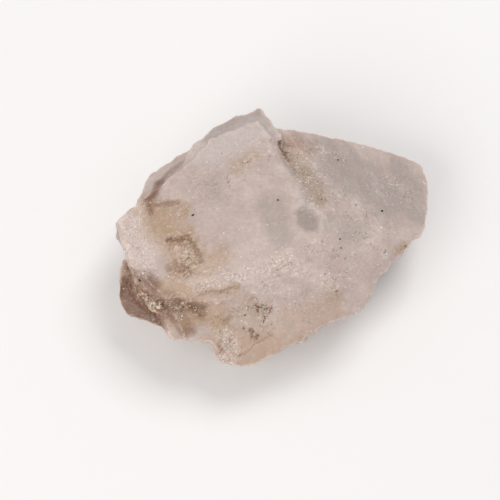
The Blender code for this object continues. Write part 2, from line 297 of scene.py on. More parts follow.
# %% Zones of colour
COLOUR_ZONES = {
    "amber": (
        (2.8, 0.75, (154, 210), (170, 212), (182, 210)),
        (3.2, 0.75, (156, 226), (166, 232)),
        (3.4, 0.95, (174, 240), (186, 240), (194, 252), (190, 266), (178, 272)),
        (2.0, 0.55, (194, 240), (201, 256), (200, 268)),
        (2.6, 0.65, (194, 270), (206, 267), (222, 256)),
        (1.8, 0.6, (196, 292), (214, 292), (236, 287)),
        (2.6, 0.4, (168, 287), (180, 290), (192, 295)),
        (3.0, 0.15, (246, 300), (250, 318), (244, 336)),
        (3.0, 0.6, (290, 158), (300, 168), (312, 182), (318, 198)),
        (2.4, 0.5, (252, 156), (236, 168)),
        (2.4, 0.45, (292, 152), (300, 160)),
        (2.6, 0.55, (180, 318), (205, 318), (226, 330)),
        (1.4, 0.8, (398, 250), (404, 246)),
        (2.0, 0.4, (330, 290), (336, 298)),
        (1.6, 0.5, (146, 208), (149, 222), (152, 238)),
        (2.0, 0.5, (300, 340), (312, 336)),
    ),
    "stained": (
        (0.9, 0.85, (168, 240), (178, 240), (188, 237)),
        (0.8, 0.6, (189, 237), (196, 248), (201, 261)),
        (1.8, 0.45, (170, 266), (178, 268), (187, 272)),
        (0.9, 0.8, (150, 206), (151, 213)),
        (0.7, 0.6, (151, 206), (166, 204), (178, 202)),
        (0.5, 0.2, (150, 212), (153, 226), (155, 236)),
        (1.4, 0.45, (123, 254), (127, 268), (131, 280)),
        (2.2, 0.8, (140, 292), (154, 302), (168, 308)),
        (1.4, 0.6, (176, 302), (190, 306), (202, 311)),
        (0.5, 0.45, (200, 295), (211, 291), (221, 292), (229, 288), (238, 287)),
        (1.0, 0.2, (254, 307), (266, 311)),
        (1.0, 0.3, (248, 331), (255, 337)),
        (0.9, 0.75, (279, 143), (284, 152), (288, 160)),
        (0.7, 0.6, (282, 145), (293, 146)),
        (0.4, 0.3, (237, 357), (245, 354), (255, 344), (271, 335)),
        (1.0, 0.4, (219, 344), (220, 350)),
        (0.8, 0.4, (225, 322), (230, 318)),
    ),
    "clear": (
        (1.8, 0.25, (118, 236), (121, 250), (126, 266), (132, 276)),
        (2.8, 0.85, (134, 272), (143, 277), (152, 285)),
        (4.0, 1.0, (126, 290), (132, 302), (146, 312), (160, 320)),
        (2.6, 0.15, (304, 215), (311, 222)),
        (2.6, 1.0, (148, 318), (160, 324)),
        (3.2, 0.75, (168, 314), (180, 318), (184, 326)),
        (2.6, 0.7, (164, 304), (180, 304), (200, 310)),
        (1.6, 0.5, (160, 294), (172, 296)),
        (2.0, 0.85, (146, 200), (153, 192), (160, 183)),
        (1.2, 0.4, (166, 176), (180, 164)),
        (2.6, 0.3, (286, 146), (296, 140), (312, 146)),
        (1.4, 0.35, (400, 262), (392, 276), (380, 292)),
    ),
    "grey": (
        (7.0, 0.72, (340, 168), (364, 182), (388, 196)),
        (5.0, 0.56, (318, 150), (340, 156)),
        (4.0, 0.64, (400, 168), (412, 190), (416, 214)),
        (2.6, 1.0, (306, 215), (311, 222)),
        (2.0, 1.0, (303, 214), (304, 222), (313, 226)),
        (2.2, 1.0, (208, 137), (222, 129), (240, 119), (257, 113)),
        (1.6, 0.6, (262, 116), (272, 132)),
        (3.6, 0.8, (290, 160), (308, 176), (314, 196)),
        (4.0, 0.4, (332, 226), (352, 232)),
        (2.0, 0.3, (152, 192), (166, 178), (182, 164)),
        (3.0, 0.4, (214, 182), (218, 192)),
        (4.0, 0.5, (272, 206), (280, 236)),
    ),
    "warm": (
        (4.5, 0.9, (180, 318), (200, 308), (216, 314)),
        (6.0, 0.8, (226, 345), (250, 352), (270, 344)),
        (6.0, 0.3, (230, 306), (256, 318)),
        (6.0, 1.0, (126, 280), (146, 300), (166, 314)),
        (4.0, 0.9, (172, 290), (186, 294)),
        (4.0, 0.8, (126, 210), (140, 204)),
        (5.0, 0.8, (154, 222), (172, 230), (180, 256)),
        (5.0, 0.4, (202, 268), (216, 260)),
        (6.0, 0.45, (290, 326), (324, 314)),
        (3.0, 0.5, (290, 142), (304, 150)),
    ),
    "cool": (
        (5.0, 0.9, (208, 152), (222, 144), (240, 136), (254, 130)),
    ),
}
print("colour zones:", *COLOUR_ZONES)

# %% [markdown]
# Each stroke fades out from its middle line. A little noise bends the borders, so that no
# stroke looks drawn, and where strokes of one zone overlap, the stronger one counts.

# %% Brush strokes
ZONES = {**TEXTURE_ZONES, **COLOUR_ZONES}


def distance_to_stroke(points, path):
    """The distance of each point from a path of places, in mm."""
    best = np.full(len(points), np.inf)
    for start, end in zip(path, path[1:] or path):
        leg = end - start
        length = max(float(leg @ leg), 1e-9)
        share = np.clip((points - start) @ leg / length, 0.0, 1.0)
        best = np.minimum(best, np.linalg.norm(points - start - share[:, None] * leg, axis=1))
    return best


def zone_strength(name):
    """How strongly each vertex belongs to a zone, from 0 to 1."""
    total = np.zeros(len(places))
    for radius, strength, *path in ZONES[name]:
        stroke = [np.array(seen_at(column, row)) for column, row in path]
        distance = distance_to_stroke(places, stroke) * (1.0 + 0.3 * wobble)
        total = np.maximum(total, strength * (1.0 - smooth_step(0.3 * radius, radius, distance)))
    return total


zones = {name: zone_strength(name) for name in ZONES}
for name, values in zones.items():
    print(name, "covers", round(float((values > 0.3).mean()) * 100.0, 1), "% of the points")

# %% [markdown]
# Salt draws moisture from the air, so edges that were once crisp melt away. A smoothing brush
# would do it by hand. Here each point of the softened zone moves towards the middle of its
# neighbours, many times over, which gives the same rounding each time the file runs.

# %% Melted edges
MELTING_ROUNDS = 46
MELTING_PULL = 0.7


def edge_ends(mesh):
    ends = np.empty(len(mesh.edges) * 2, dtype=np.int64)
    mesh.edges.foreach_get("vertices", ends)
    return ends.reshape(-1, 2).T


def neighbour_mean(mesh, points):
    """The middle of the neighbours of each vertex."""
    start, end = edge_ends(mesh)
    from_place, to_place = np.concatenate((start, end)), np.concatenate((end, start))
    count = np.bincount(from_place, minlength=len(points))
    sums = [np.bincount(from_place, points[to_place, axis], len(points)) for axis in range(3)]
    return np.stack(sums, axis=1) / count[:, None]


def place_vertices(mesh, points):
    mesh.vertices.foreach_set("co", (points * MM).ravel())
    mesh.update()


melted = places
for _ in range(MELTING_ROUNDS):
    pull = neighbour_mean(crystal.data, melted) - melted
    melted = melted + MELTING_PULL * zones["softened"][:, None] * pull
place_vertices(crystal.data, melted)
print("melting moved points by up to", round(float(np.abs(melted - places).max()), 2), "mm")
places, normals = vertex_arrays(crystal.data)

# %% [markdown]
# Salt splits in flat treads with short risers, and a crumbly crust is made of small cells. A
# bump map could fake both, but the outline would stay smooth, so these helpers work out real
# heights: stairs, cells of random height, and soft patches round a place.

# %% Relief helpers
def stairs(values, sharpness=5.0):
    """Turns a smooth slope into flat treads with short risers."""
    whole = np.floor(values)
    rise = np.clip((values - whole - 0.5) * sharpness + 0.5, 0.0, 1.0)
    return whole + rise


def cell_heights(points, size, seed):
    """A random height for each cell of a broken crust, and the distance to its border."""
    heights, borders = np.empty(len(points)), np.empty(len(points))
    shift = Vector((seed * 2.7, seed * 4.9, seed * 1.3))
    for number, point in enumerate(points):
        distances, centres = noise.voronoi(Vector(point) / size + shift)
        heights[number] = noise.cell(centres[0] * 9.0)
        borders[number] = distances[1] - distances[0]
    return heights, borders


print("stairs at 0.2, 0.5 and 0.8:", stairs(np.array([0.2, 0.5, 0.8])).round(2))

# %% [markdown]
# A few features stand alone: thin cracks, the ribs at the lower left and the shell-like rings
# on the rounded corner, where the salt broke in a curve as glass does. The cracks are shallow
# grooves along strokes, and the ribs and rings are waves that fade out round one place.

# %% Cracks, ribs and rings
CRACKS = (
    # depth and half width in mm, then the path in the picture
    (0.05, 0.22, (237, 357), (245, 354), (255, 344), (262, 341), (271, 335)),
    (0.16, 0.22, (388, 185), (396, 187), (402, 186)),
    (0.05, 0.26, (190, 294), (200, 295), (211, 291), (221, 292), (229, 288), (238, 287)),
    (0.12, 0.25, (262, 281), (284, 275), (302, 270)),
    (0.16, 0.30, (279, 142), (284, 152), (288, 161)),
    (0.18, 0.30, (167, 240), (178, 240), (187, 237)),
    (0.18, 0.30, (189, 236), (196, 248), (201, 260)),
)
RIB_PITCH = 0.95
RIB_DEPTH = 0.07
RING_PITCH = 0.75
RING_DEPTH = 0.035


def crack_relief():
    total = np.zeros(len(places))
    for depth, half_width, *path in CRACKS:
        stroke = [np.array(seen_at(column, row)) for column, row in path]
        distance = distance_to_stroke(places, stroke) * (1.0 + 0.35 * wobble)
        total -= depth * (1.0 - smooth_step(0.0, 2.0 * half_width, distance))
    return total


def patch(column, row, radius):
    """A soft round patch round a place in the picture, and each vertex's distance from it."""
    distance = np.linalg.norm(places - np.array(seen_at(column, row)), axis=1)
    return 1.0 - smooth_step(0.5 * radius, radius, distance), distance


print(len(CRACKS), "cracks, ribs every", RIB_PITCH, "mm, rings every", RING_PITCH, "mm")

# %% [markdown]
# The layers are added up: slow waves all over, stairs, fine grain, the crust and the single
# features. Upright and undercut faces are broken, so they get more stairs and grain than the
# table. The lowest points stay put, so that the crystal still lies flat.

# %% Relief
# Heights in mm. Broken faces get the second number of a pair on top of the first.
LEDGES, BROKEN_LEDGES = 0.025, 0.25
GRAIN, BROKEN_GRAIN = 0.02, 0.12
WAVES = 0.10
FROST_GRAIN = 0.06
CRUST = 0.38
CRUST_GAP = 0.14
TREADS = 5.0
# Faces that point up less than the first are broken, and more than the second are the table.
BROKEN_BELOW, TABLE_ABOVE = 0.55, 0.90
# Column and row in the picture, then the radius in mm.
RIB_PATCH = (159, 320, 3.4)
RING_PATCH = (178, 301, 3.2)

up = np.clip(normals[:, 2], 0.0, 1.0)
broken = 1.0 - smooth_step(BROKEN_BELOW, TABLE_ABOVE, up)
grain_frame = along_grain(places)
waves = noise_at(places, 5.5, 3)
ledge_field = noise_at(grain_frame * np.array([1.0, 0.45, 1.6]), 2.6, 4)
ledges = stairs(ledge_field * TREADS) / TREADS
grain = noise_at(places, 0.8, 5)
crust, crust_border = cell_heights(grain_frame, 0.75, 6)
rib_patch, _ = patch(*RIB_PATCH)
ring_patch, ring_distance = patch(*RING_PATCH)

relief = WAVES * waves
relief += (LEDGES + BROKEN_LEDGES * broken) * ledges
relief += (GRAIN + BROKEN_GRAIN * broken + FROST_GRAIN * zones["frosted"]) * grain
crust_gap = 1.0 - smooth_step(0.0, 0.22, crust_border)
relief += zones["crumbly"] * (CRUST * (crust - 0.5) - CRUST_GAP * crust_gap)
relief += crack_relief()
relief += RIB_DEPTH * rib_patch * np.sin(places[:, 0] * 2.0 * math.pi / RIB_PITCH)
relief += RING_DEPTH * ring_patch * np.sin(ring_distance * 2.0 * math.pi / RING_PITCH)
relief *= smooth_step(0.05, 0.5, places[:, 2])
print("relief, mm:", round(float(relief.min()), 3), "to", round(float(relief.max()), 3))

# %% [markdown]
# Each point moves along its normal by the relief at its place, and stays inside the box of
# the solid. What the material needs to know about a place is kept on the mesh as attributes:
# the zones, the cells of the crust, and the sharp rims. The rims are painted paler, partly as
# crushed salt and partly as a painted highlight where light catches the thin edges. An attribute
# travels with the mesh, and needs no unwrapping as a picture would.

# %% Move the points
RIM_STARTS, RIM_FULL = 0.010, 0.042

low, high = (np.array(corner) / MM for corner in solid_box)
moved = np.clip(places + normals * relief[:, None], low, high)
place_vertices(crystal.data, moved)
crystal.data.shade_smooth()


def store(mesh, name, values):
    """Keeps one number per vertex where the material can read it."""
    layer = mesh.attributes.new(name, "FLOAT", "POINT")
    layer.data.foreach_set("value", values.astype(np.float32))


def standing_out(mesh, points, directions):
    """How far each vertex stands out over its neighbours, in mm: sharp rims score high."""
    return np.einsum("ij,ij->i", points - neighbour_mean(mesh, points), directions)


places, normals = vertex_arrays(crystal.data)
heights = standing_out(crystal.data, places, normals)
for name, values in zones.items():
    store(crystal.data, name, values)
# The gaps between crust cells, which the material darkens as painted shade.
store(crystal.data, "crust_gap", zones["crumbly"] * crust_gap)
store(crystal.data, "crust_lump", zones["crumbly"] * crust)
# Sharp rims get paler colour: partly crushed salt, partly a painted highlight of light along thin
# edges.
rim = smooth_step(RIM_STARTS, RIM_FULL, heights)
rim *= (1.0 - 0.85 * zones["clear"]) * (1.0 - 0.7 * zones["crumbly"])
store(crystal.data, "rim", rim)
store(crystal.data, "broken", broken)
print("sharp rims cover", round(float((heights > RIM_FULL).mean()) * 100.0, 1), "% of the points")

# %% [markdown]
# Materials are built from nodes. A few short helpers add a node, set it and link it in one
# line, so that a material reads like a recipe. The same could be clicked together in the
# shader editor, but written down it can be read, compared and changed.

# %% Node group helpers
def new_group(name, inputs, outputs):
    group = bpy.data.node_groups.new(name, "ShaderNodeTree")
    for label, value in inputs:
        socket = group.interface.new_socket(label, in_out="INPUT", socket_type="NodeSocketFloat")
        socket.default_value = value
    for label in outputs:
        group.interface.new_socket(label, in_out="OUTPUT", socket_type="NodeSocketFloat")
    given = group.nodes.new("NodeGroupInput").outputs
    result = group.nodes.new("NodeGroupOutput").inputs
    return group, given, result


def feed(tree, socket, source):
    """Links a socket, or sets its value where the source is a plain value."""
    if isinstance(source, bpy.types.NodeSocket):
        tree.links.new(source, socket)
    else:
        socket.default_value = source


def add(tree, kind, settings=None, values=None):
    """Adds a node, sets its properties and feeds its inputs."""
    node = tree.nodes.new(kind)
    for name, value in (settings or {}).items():
        setattr(node, name, value)
    for name, source in (values or {}).items():
        feed(tree, node.inputs[name], source)
    return node


def math_node(tree, operation, first, second=0.0, clamp=False):
    settings = {"operation": operation, "use_clamp": clamp}
    return add(tree, "ShaderNodeMath", settings, {0: first, 1: second}).outputs[0]


def times(tree, first, second):
    return math_node(tree, "MULTIPLY", first, second)


def ramp(tree, value, low, high):
    """Maps a value from low..high to 0..1, softly."""
    settings = {"interpolation_type": "SMOOTHSTEP"}
    values = {"Value": value, "From Min": low, "From Max": high}
    return add(tree, "ShaderNodeMapRange", settings, values).outputs["Result"]


def mix_colour(tree, share, first, second):
    node = add(tree, "ShaderNodeMix", {"data_type": "RGBA"})
    for index, source in ((0, share), (6, first), (7, second)):
        feed(tree, node.inputs[index], source)
    return node.outputs[2]


def cloud_noise(tree, place, scale, detail, roughness, distortion=0.0):
    values = {"Vector": place, "Scale": scale, "Detail": detail}
    values.update({"Roughness": roughness, "Distortion": distortion})
    return add(tree, "ShaderNodeTexNoise", None, values).outputs["Fac"]


def object_place(tree):
    return add(tree, "ShaderNodeTexCoord").outputs["Object"]


print("helpers for nodes:", [helper.__name__ for helper in (new_group, add, ramp, mix_colour)])

# %% [markdown]
# Effects that several materials share are node groups with named sockets. The first is cloudy
# mottling: two sizes of noise that mix milky and clearer salt. The second scatters tiny round
# marks, such as brine pits or glints, over a share of the cells of a Voronoi texture.

# %% Shared node groups: clouding and marks
def make_clouding():
    inputs = [("Size", 0.004), ("Softness", 0.2)]
    group, given, result = new_group("milky_clouding", inputs, ["Cloud", "Wisps"])
    scale = math_node(group, "DIVIDE", 1.0, given["Size"])
    place = object_place(group)
    cloud = cloud_noise(group, place, scale, 4.0, 0.55)
    wisps = cloud_noise(group, place, times(group, scale, 3.4), 5.0, 0.6, 1.2)
    low = math_node(group, "SUBTRACT", 0.5, given["Softness"])
    high = math_node(group, "ADD", 0.5, given["Softness"])
    group.links.new(ramp(group, cloud, low, high), result["Cloud"])
    group.links.new(ramp(group, wisps, low, high), result["Wisps"])
    return group


def make_scatter():
    inputs = [("Spacing", 0.002), ("Share", 0.3), ("Radius", 0.1), ("Halo", 0.25)]
    group, given, result = new_group("scattered_marks", inputs, ["Mark", "Ring"])
    scale = math_node(group, "DIVIDE", 1.0, given["Spacing"])
    values = {"Vector": object_place(group), "Scale": scale}
    cells = add(group, "ShaderNodeTexVoronoi", {"feature": "F1"}, values)
    pick = add(group, "ShaderNodeSeparateColor", None, {"Color": cells.outputs["Color"]})
    chosen = math_node(group, "LESS_THAN", pick.outputs[0], given["Share"])
    size = times(group, given["Radius"], math_node(group, "ADD", 0.45, pick.outputs[1]))
    reach = math_node(group, "ADD", size, given["Halo"])
    core = ramp(group, cells.outputs["Distance"], times(group, size, 0.55), size)
    outer = ramp(group, cells.outputs["Distance"], size, reach)
    inside = math_node(group, "SUBTRACT", 1.0, core)
    ring = times(group, math_node(group, "SUBTRACT", 1.0, outer), core)
    group.links.new(times(group, chosen, inside), result["Mark"])
    group.links.new(times(group, chosen, ring), result["Ring"])
    return group


clouding, scatter = make_clouding(), make_scatter()
print("node groups:", clouding.name, scatter.name)

# %% [markdown]
# The third group is the fine tooth of a frosted surface, as a height for a Bump node: it is
# too fine for the mesh. The fourth draws faint parallel streaks, the traces of cleavage planes
# inside the salt. Its noise is stretched along one heading, which costs less than real planes.

# %% Shared node groups: tooth and streaks
def make_tooth():
    inputs = [("Size", 0.0003), ("Facets", 0.5)]
    group, given, result = new_group("frosted_tooth", inputs, ["Height"])
    scale = math_node(group, "DIVIDE", 1.0, given["Size"])
    place = object_place(group)
    soft = cloud_noise(group, place, scale, 3.0, 0.6)
    values = {"Vector": place, "Scale": scale}
    facets = add(group, "ShaderNodeTexVoronoi", {"distance": "CHEBYCHEV"}, values)
    chips = times(group, facets.outputs["Distance"], given["Facets"])
    group.links.new(math_node(group, "ADD", soft, chips), result["Height"])
    return group


def make_streaks():
    inputs = [("Heading", 0.0), ("Length", 0.006), ("Width", 0.0005), ("Shift", 0.0)]
    group, given, result = new_group("cleavage_streaks", inputs, ["Streaks"])
    turn = math_node(group, "RADIANS", times(group, given["Heading"], -1.0))
    values = {"Vector": object_place(group), "Angle": turn}
    turned = add(group, "ShaderNodeVectorRotate", {"rotation_type": "Z_AXIS"}, values).outputs[0]
    along = math_node(group, "DIVIDE", 1.0, given["Length"])
    across = math_node(group, "DIVIDE", 1.0, given["Width"])
    stretch = add(group, "ShaderNodeCombineXYZ", None, {"X": along, "Y": across, "Z": across})
    values = {0: turned, 1: stretch.outputs[0]}
    place = add(group, "ShaderNodeVectorMath", {"operation": "MULTIPLY"}, values).outputs[0]
    shift = add(group, "ShaderNodeCombineXYZ", None, {"X": given["Shift"]}).outputs[0]
    values = {0: place, 1: shift}
    place = add(group, "ShaderNodeVectorMath", {"operation": "ADD"}, values).outputs[0]
    lines = cloud_noise(group, place, 1.0, 3.0, 0.6)
    group.links.new(ramp(group, lines, 0.38, 0.66), result["Streaks"])
    return group


tooth, streaks = make_tooth(), make_streaks()
print("node groups:", tooth.name, streaks.name)

# %% [markdown]
# The salt itself is pinkish milk. Where it is clearer it looks grey, or brown over clay,
# crushed salt looks white, and clay has stained the hollows. The same dark brown is also
# painted as shade into the gaps between the cells of the crust. Each of these is one colour.

# %% Salt colours
PINK_MILK = (0.470, 0.364, 0.322, 1.0)
PALE_MILK = (0.590, 0.476, 0.430, 1.0)
CLEARER_GREY = (0.340, 0.285, 0.256, 1.0)
WARM_TAN = (0.480, 0.318, 0.205, 1.0)
AMBER = (0.392, 0.270, 0.165, 1.0)
COOL_MILK = (0.560, 0.485, 0.470, 1.0)
CLEAR_BROWN_AND_GAP_SHADE = (0.165, 0.066, 0.026, 1.0)
CLAY_STAIN = (0.200, 0.092, 0.040, 1.0)
CRUSHED_WHITE = (0.740, 0.625, 0.565, 1.0)
# Painted glints: white spots in the colour that stand for tiny highlights.
PAINTED_GLINT_WHITE = (0.90, 0.84, 0.80, 1.0)
BRINE_PIT = (0.20, 0.15, 0.13, 1.0)


def use_group(tree, group, values):
    node = add(tree, "ShaderNodeGroup", {"node_tree": group})
    for name, source in values.items():
        feed(tree, node.inputs[name], source)
    return node.outputs


def zone_value(tree, name):
    return add(tree, "ShaderNodeAttribute", {"attribute_name": name}).outputs["Fac"]


print("pink milk:", PINK_MILK[:3], "crushed white:", CRUSHED_WHITE[:3])

# %% [markdown]
# The colours are laid over each other as glazes are in painting: each layer has a share, from
# a zone or a pattern, and a tint. The milky ground comes first, then the zones, and the
# smallest marks last. One list of layers is easier to follow than a web of mix nodes.

# %% Layers of colour
def short_dashes(tree, values, low, mask):
    """Short flecks along one heading, only where the mask is high."""
    lines = ramp(tree, use_group(tree, streaks, values)["Streaks"], low, 1.0)
    return times(tree, lines, ramp(tree, mask, 0.2, 0.8))


def salt_colour(tree, small, glints, pits):
    """Lays one zone after another over the milky ground."""
    broad = use_group(tree, clouding, {"Size": 9.0 * MM, "Softness": 0.16})
    speckle = use_group(tree, clouding, {"Size": 0.85 * MM, "Softness": 0.17})
    diagonal = use_group(tree, streaks, {"Heading": 38.0, "Length": 5.0 * MM, "Width": 0.8 * MM})
    level = use_group(tree, streaks, {"Heading": 0.0, "Length": 4.0 * MM, "Width": 0.45 * MM})
    amber = times(tree, zone_value(tree, "amber"), ramp(tree, speckle["Cloud"], -0.6, 0.9))
    frost = times(tree, zone_value(tree, "frosted"), ramp(tree, speckle["Wisps"], 0.0, 0.9))
    stain = times(tree, zone_value(tree, "stained"), ramp(tree, speckle["Wisps"], -0.4, 0.8))
    dashes = {"Heading": 14.0, "Length": 0.9 * MM, "Width": 0.38 * MM, "Shift": 31.0}
    flecks = short_dashes(tree, dashes, 0.70, small["Wisps"])
    dashes = {"Heading": 62.0, "Length": 0.6 * MM, "Width": 0.36 * MM, "Shift": 57.0}
    soil = short_dashes(tree, dashes, 0.80, small["Cloud"])
    flecked = zone_value(tree, "flecked")
    bright_flecks = times(tree, flecks, math_node(tree, "ADD", 0.20, times(tree, flecked, 0.7)))
    brown_flecks = times(tree, soil, math_node(tree, "ADD", 0.10, times(tree, flecked, 0.8)))
    speckled = math_node(tree, "SUBTRACT", 0.24, times(tree, zone_value(tree, "broken"), 0.16))
    layers = (
        (times(tree, small["Wisps"], 0.42), PALE_MILK),
        (times(tree, small["Cloud"], 0.22), CLEARER_GREY),
        (times(tree, diagonal["Streaks"], 0.22), PALE_MILK),
        (times(tree, level["Streaks"], 0.14), CLEARER_GREY),
        (times(tree, zone_value(tree, "broken"), 0.35), PALE_MILK),
        (times(tree, zone_value(tree, "grey"), 0.95), CLEARER_GREY),
        (times(tree, zone_value(tree, "cool"), 0.7), COOL_MILK),
        (times(tree, zone_value(tree, "warm"), 0.75), WARM_TAN),
        (times(tree, speckle["Cloud"], speckled), CLEARER_GREY),
        (times(tree, zone_value(tree, "clear"), 0.97), CLEAR_BROWN_AND_GAP_SHADE),
        (amber, AMBER),
        (times(tree, frost, 0.72), CRUSHED_WHITE),
        (times(tree, zone_value(tree, "crust_lump"), 0.4), WARM_TAN),
        # painted shade: the gaps between crust cells are darkened
        (times(tree, zone_value(tree, "crust_gap"), 0.6), CLEAR_BROWN_AND_GAP_SHADE),
        # painted highlight along sharp rims, partly crushed salt as well
        (times(tree, zone_value(tree, "rim"), 0.6), CRUSHED_WHITE),
        (stain, CLAY_STAIN),
        (bright_flecks, CRUSHED_WHITE),
        (brown_flecks, CLAY_STAIN),
        (times(tree, pits["Ring"], 0.35), CRUSHED_WHITE),
        (times(tree, pits["Mark"], 0.7), BRINE_PIT),
        # painted glints: white spots stand for tiny highlights
        (times(tree, glints["Mark"], 0.7), PAINTED_GLINT_WHITE),
    )
    colour = mix_colour(tree, broad["Cloud"], PINK_MILK, PALE_MILK)
    for share, tint in layers:
        colour = mix_colour(tree, share, colour, tint)
    return colour


# %% [markdown]
# Salt of this kind has tiny bubbles of brine in it, so light goes in a millimetre or so and
# comes back soft: that is subsurface scattering. A glassy material would be clear right
# through, which this milky salt isn't. Frosted places are rougher, clear and freshly broken
# ones glossier, and glints are the smoothest.

# %% Salt material
def make_salt():
    made = bpy.data.materials.new("milky_salt_look")
    made.use_nodes = True
    tree = made.node_tree
    shader = tree.nodes["Principled BSDF"]
    shader.inputs["IOR"].default_value = 1.54
    shader.inputs["Subsurface Weight"].default_value = 0.5
    shader.inputs["Subsurface Radius"].default_value = (1.0, 0.66, 0.50)
    shader.inputs["Subsurface Scale"].default_value = 1.6 * MM

    frosted = zone_value(tree, "frosted")
    small = use_group(tree, clouding, {"Size": 2.4 * MM, "Softness": 0.18})
    values = {"Spacing": 2.6 * MM, "Share": 0.2, "Radius": 0.07, "Halo": 0.1}
    pits = use_group(tree, scatter, values)
    # The glints whiten the colour as painted highlights and also make the surface glossier.
    more_glints = math_node(tree, "ADD", 0.010, times(tree, frosted, 0.30))
    values = {"Spacing": 0.42 * MM, "Share": more_glints, "Radius": 0.34, "Halo": 0.1}
    glints = use_group(tree, scatter, values)
    tree.links.new(salt_colour(tree, small, glints, pits), shader.inputs["Base Color"])

    rough = math_node(tree, "ADD", 0.38, times(tree, small["Cloud"], 0.16))
    rough = math_node(tree, "ADD", rough, times(tree, frosted, 0.2))
    rough = math_node(tree, "SUBTRACT", rough, times(tree, zone_value(tree, "clear"), 0.16))
    rough = math_node(tree, "SUBTRACT", rough, times(tree, zone_value(tree, "broken"), 0.12))
    rough = math_node(tree, "SUBTRACT", rough, times(tree, glints["Mark"], 0.28), clamp=True)
    tree.links.new(rough, shader.inputs["Roughness"])

    coarse_tooth = use_group(tree, tooth, {"Size": 1.1 * MM, "Facets": 0.7})
    fine_tooth = use_group(tree, tooth, {"Size": 0.42 * MM, "Facets": 0.9})
    height = math_node(tree, "ADD", coarse_tooth["Height"], times(tree, fine_tooth["Height"], 0.5))
    height = math_node(tree, "SUBTRACT", height, times(tree, pits["Mark"], 0.8))
    values = {"Height": height, "Strength": 0.9, "Distance": 0.09 * MM}
    bump = add(tree, "ShaderNodeBump", None, values)
    tree.links.new(bump.outputs["Normal"], shader.inputs["Normal"])
    return made


crystal.data.materials.append(make_salt())
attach(crystal, "root")
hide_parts("halite_crystal")
print("salt material:", len(crystal.data.materials[0].node_tree.nodes), "nodes")

# %% [markdown]
# Crumbs and dirt gather along edges and in hollows. A particle system could strew them, but
# it would spread them evenly. Here each stroke says how many grains lie along it, how large
# they are and how far they spread, and each grain drops onto the nearest point of the surface.

# %% Strewing helpers
surface = surface_of(crystal)


def strewn(strokes, seed):
    """Places, normals and sizes of grains strewn along strokes, in mm."""
    chance = random.Random(seed)
    grains = []
    for count, smallest, largest, spread, *path in strokes:
        stroke = [seen_at(column, row) for column, row in path]
        for _ in range(count):
            share = chance.uniform(0.0, len(stroke) - 1.0)
            leg = min(int(share), len(stroke) - 2)
            near = stroke[leg].lerp(stroke[leg + 1], share - leg)
            near = near + Vector([chance.gauss(0.0, spread * 0.6) for _ in range(3)])
            place, normal, _, _ = surface.find_nearest(near * MM)
            size = smallest + (largest - smallest) * chance.random() ** 2.5
            grains.append((place / MM, normal, size))
    return grains


def object_of(name, body):
    bmesh.ops.scale(body, vec=(MM, MM, MM), verts=body.verts)
    mesh = bpy.data.meshes.new(name)
    body.to_mesh(mesh)
    body.free()
    made = bpy.data.objects.new(name, mesh)
    bpy.context.scene.collection.objects.link(made)
    return made


print("grains will lie on", len(crystal.data.polygons), "faces")

# %% [markdown]
# Crushed corners of salt break into tiny cubes, because the mineral splits at right angles
# whatever its size. Milky crumbs lie mostly on the frosted edges, and clearer amber
# ones in the brown recess and the deeper pit.

# %% Where the crumbs lie
CRUMB_STROKES = (
    # how many, smallest and largest size in mm, spread in mm, then the path in the picture
    (120, 0.12, 0.26, 2.0, (128, 222), (132, 240), (140, 258)),
    (60, 0.12, 0.22, 1.3, (192, 286), (216, 280), (240, 275), (266, 267), (288, 260)),
    (30, 0.12, 0.22, 1.2, (292, 268), (314, 276), (336, 284)),
    (60, 0.12, 0.26, 1.3, (226, 338), (231, 348), (226, 359)),
    (24, 0.12, 0.28, 1.6, (306, 170), (314, 184), (318, 200)),
    (18, 0.16, 0.52, 0.5, (384, 249), (386, 256)),
    (10, 0.14, 0.34, 2.0, (350, 206), (358, 222), (372, 212)),
    (8, 0.14, 0.34, 1.0, (396, 184), (402, 185)),
    (14, 0.16, 0.50, 0.5, (178, 315), (182, 319)),
    (30, 0.18, 0.55, 1.1, (252, 309), (262, 306), (270, 312), (265, 320)),
    (12, 0.18, 0.45, 0.8, (246, 331), (256, 338)),
    (20, 0.16, 0.50, 0.7, (142, 296), (150, 301), (158, 306)),
)
AMBER_CRUMB_STROKES = (
    (64, 0.18, 0.70, 1.1, (138, 292), (148, 301), (156, 304), (164, 307)),
    (30, 0.15, 0.45, 0.7, (170, 306), (182, 306), (196, 309)),
    (40, 0.14, 0.34, 0.6, (121, 250), (126, 264), (130, 278)),
    (24, 0.12, 0.36, 1.0, (180, 244), (190, 256), (188, 272)),
)


print("crumbs:", sum(row[0] for row in CRUMB_STROKES + AMBER_CRUMB_STROKES))

# %% [markdown]
# The crumbs are real cubes, half sunk in the crust, so they catch the light like the
# sparkling grains of the specimen. Marks in the salt material would stay flat in the outline.
# Each kind is joined into one mesh, which keeps the scene small.

# %% Salt crumbs
MILKY_CRUMB_DARK = (0.42, 0.31, 0.25, 1.0)
MILKY_CRUMB_LIGHT = (0.74, 0.63, 0.57, 1.0)
AMBER_CRUMB_DARK = (0.26, 0.14, 0.08, 1.0)
AMBER_CRUMB_LIGHT = (0.80, 0.65, 0.51, 1.0)


def cubes_on(name, grains, seed):
    """Small half-sunk boxes, each turned a little out of the grain."""
    chance = random.Random(seed)
    body = bmesh.new()
    for place, normal, size in grains:
        centre = place - normal * size * 0.2
        turn = Matrix.Rotation(math.radians(GRAIN_HEADING + chance.gauss(0.0, 18.0)), 4, "Z")
        lean = Matrix.Rotation(chance.gauss(0.0, 0.4), 4, "X")
        lean = lean @ Matrix.Rotation(chance.gauss(0.0, 0.4), 4, "Y")
        sides = (size * chance.uniform(0.6, 1.3), size * chance.uniform(0.6, 1.2), size, 1.0)
        matrix = Matrix.Translation(centre) @ turn @ lean @ Matrix.Diagonal(sides)
        bmesh.ops.create_cube(body, size=1.0, matrix=matrix)
    return object_of(name, body)


